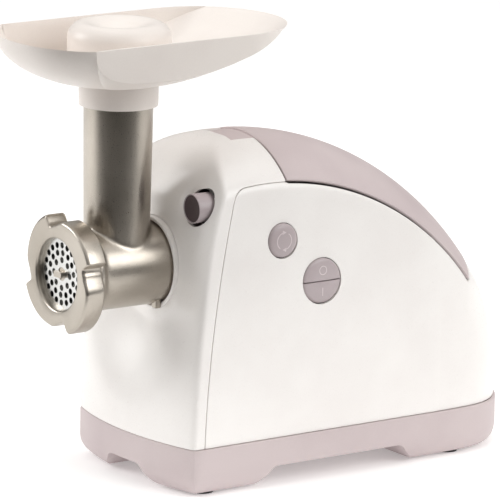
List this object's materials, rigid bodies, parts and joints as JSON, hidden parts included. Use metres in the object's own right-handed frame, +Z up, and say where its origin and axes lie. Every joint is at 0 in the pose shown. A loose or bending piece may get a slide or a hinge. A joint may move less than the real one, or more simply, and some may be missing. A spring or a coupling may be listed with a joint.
{
  "type": "electric meat grinder",
  "caption": "Electric meat grinder: plastic motor body with rear storage lid, side keys, and a cast grinding head with feed tube, tray and pusher.",
  "frame": {"origin": "bottom centre of the whole machine, on the table", "axes": "+Z up, -Y the grinding head's face, +X the side with the keys"},
  "size_m": [0.156, 0.424, 0.3485],
  "materials": {
    "white_plastic": "moulded, satin gloss",
    "mauve_plastic": "moulded, fine texture",
    "button_plastic": "moulded",
    "cast_aluminium": "cast, satin grain",
    "bright_steel": "ground",
    "dark_metal": "laminated",
    "bronze": "sintered",
    "copper": "enamelled wire",
    "gear_plastic": "moulded acetal",
    "black_plastic": "moulded",
    "board_green": "solder mask",
    "rubber": "matt"
  },
  "bodies": {
    "motor_unit": {"base": "mauve_plastic", "rubber_feet": "rubber", "base_screws": "bright_steel", "front_housing": "white_plastic", "side_shell_right": "white_plastic", "side_shell_left": "white_plastic", "shell_screws": "bright_steel", "head_socket": "mauve_plastic", "gearbox_housing": "cast_aluminium", "gearbox_cover": "cast_aluminium", "gearbox_screws": "bright_steel", "output_bearing": "bronze", "motor_front_bearing": "bright_steel", "motor_rear_bearing": "bright_steel", "motor_front_bracket": "cast_aluminium", "motor_rear_bracket": "cast_aluminium", "motor_stator": "dark_metal", "field_windings": "copper", "brush_holders": "black_plastic", "carbon_brushes": "black_plastic", "switch_block": "black_plastic", "control_board": "board_green", "cord_gland": "rubber", "storage_box": "mauve_plastic", "spare_plate_medium": "bright_steel", "spare_plate_coarse": "bright_steel", "lid_hinge_bracket": "bright_steel", "lid_hinge_pins": "bright_steel"},
    "lid": {"storage_lid": "mauve_plastic"},
    "head": {"head_casting": "cast_aluminium", "perforated_plate": "bright_steel"},
    "nut": {"ring_nut": "cast_aluminium"},
    "tray": {"hopper_tray": "white_plastic"},
    "pusher": {"pusher": "white_plastic", "pusher_cap": "white_plastic"},
    "screw": {"auger": "cast_aluminium", "knife": "bright_steel", "drive_dog": "gear_plastic", "output_shaft": "bright_steel", "output_gear": "gear_plastic"},
    "idler": {"idler_shaft": "bright_steel", "idler_large_gear": "gear_plastic", "idler_small_gear": "bright_steel"},
    "rotor": {"motor_shaft": "bright_steel", "armature": "dark_metal", "commutator": "copper", "cooling_fan": "gear_plastic", "motor_pinion": "bright_steel"},
    "reverse": {"reverse_button": "button_plastic", "reverse_spring": "bright_steel"},
    "off": {"off_key": "button_plastic"},
    "on": {"on_key": "button_plastic"},
    "release": {"release_button": "button_plastic", "latch_pin": "bright_steel", "release_spring": "bright_steel"}
  },
  "joints": [
    {"name": "head_turn", "type": "hinge", "parent": "motor_unit", "child": "head", "pos_m": [0, -0.124, 0.164], "axis": [0, 1, 0], "range_deg": [0, 30]},
    {"name": "ring_nut_turn", "type": "hinge", "parent": "head", "child": "nut", "pos_m": [0, -0.169, 0.164], "axis": [0, -1, 0], "range_deg": [0, 90]},
    {"name": "tray_lift", "type": "slide", "parent": "head", "child": "tray", "axis": [0, 0, 1], "range_m": [0, 0.03]},
    {"name": "pusher_lift", "type": "slide", "parent": "tray", "child": "pusher", "axis": [0, 0, 1], "range_m": [0, 0.1]},
    {"name": "screw_spin", "type": "hinge", "parent": "motor_unit", "child": "screw", "pos_m": [0, -0.044, 0.164], "axis": [0, 1, 0], "continuous": true},
    {"name": "idler_spin", "type": "hinge", "parent": "motor_unit", "child": "idler", "pos_m": [0, -0.044, 0.11713], "axis": [0, 1, 0], "continuous": true},
    {"name": "rotor_spin", "type": "hinge", "parent": "motor_unit", "child": "rotor", "pos_m": [0, -0.044, 0.08413], "axis": [0, 1, 0], "continuous": true},
    {"name": "storage_lid_hinge", "type": "hinge", "parent": "motor_unit", "child": "lid", "pos_m": [0, 0.17072, 0.12584], "axis": [-1, 0, 0], "range_deg": [0, 70]},
    {"name": "reverse_press", "type": "slide", "parent": "motor_unit", "child": "reverse", "axis": [-1, 0, 0], "range_m": [0, 0.003], "stiffness_N_per_m": 400, "deforming": ["reverse_spring"]},
    {"name": "off_press", "type": "slide", "parent": "motor_unit", "child": "off", "axis": [-1, 0, 0], "range_m": [0, 0.0025], "stiffness_N_per_m": 400},
    {"name": "on_press", "type": "slide", "parent": "motor_unit", "child": "on", "axis": [-1, 0, 0], "range_m": [0, 0.0025], "stiffness_N_per_m": 400},
    {"name": "release_press", "type": "slide", "parent": "motor_unit", "child": "release", "axis": [0, 1, 0], "range_m": [0, 0.005], "stiffness_N_per_m": 400, "deforming": ["release_spring"]}
  ],
  "couplings": [
    {"joint": "idler_spin", "follows": "screw_spin", "ratio": -4},
    {"joint": "rotor_spin", "follows": "screw_spin", "ratio": 18}
  ]
}
